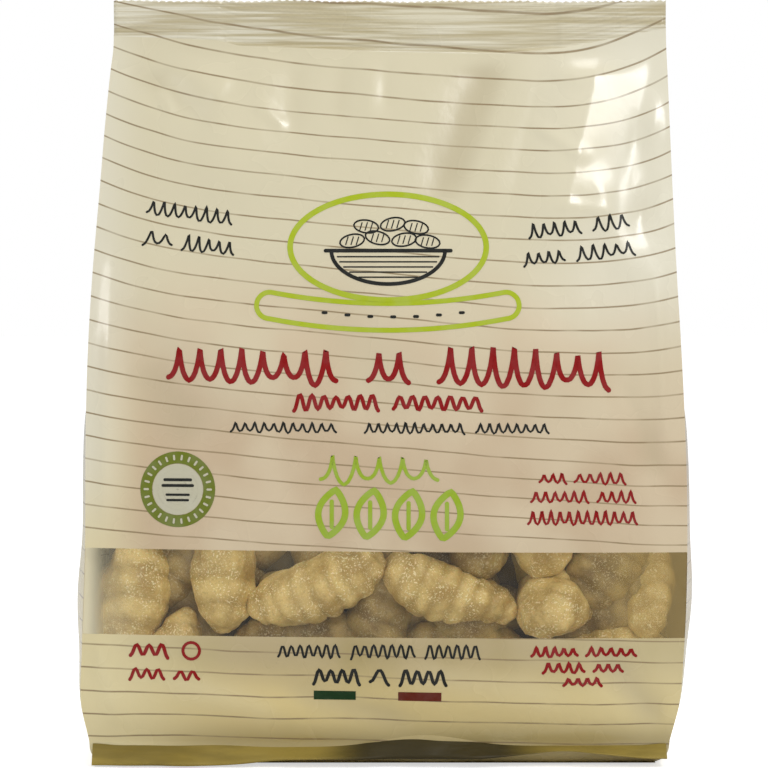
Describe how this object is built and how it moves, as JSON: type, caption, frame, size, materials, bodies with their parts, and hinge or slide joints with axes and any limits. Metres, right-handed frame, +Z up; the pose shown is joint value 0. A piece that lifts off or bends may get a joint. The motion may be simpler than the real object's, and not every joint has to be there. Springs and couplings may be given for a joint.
{
  "type": "bag of potato gnocchi",
  "caption": "Sealed side-gusseted film bag of potato gnocchi that stands on its flattened base, with a clear window band across its front and a crimped seal along its top.",
  "frame": {"origin": "middle of the bag's flattened base, on the surface that it stands on", "axes": "+Z up to the top seal, +X across the bag's width to the right as the front is seen, -Y out of the front with the window"},
  "size_m": [0.165, 0.071, 0.204],
  "materials": {
    "film": "thin glossy film printed cream with fine level lines and fields of lime, red and dark green",
    "window": "clear glossy film with soft ripples",
    "dough": "pale moist potato dough dusted with flour",
    "ink": "ink printed under the glossy film"
  },
  "bodies": {
    "root": {"bag": "film"}
  },
  "joints": []
}
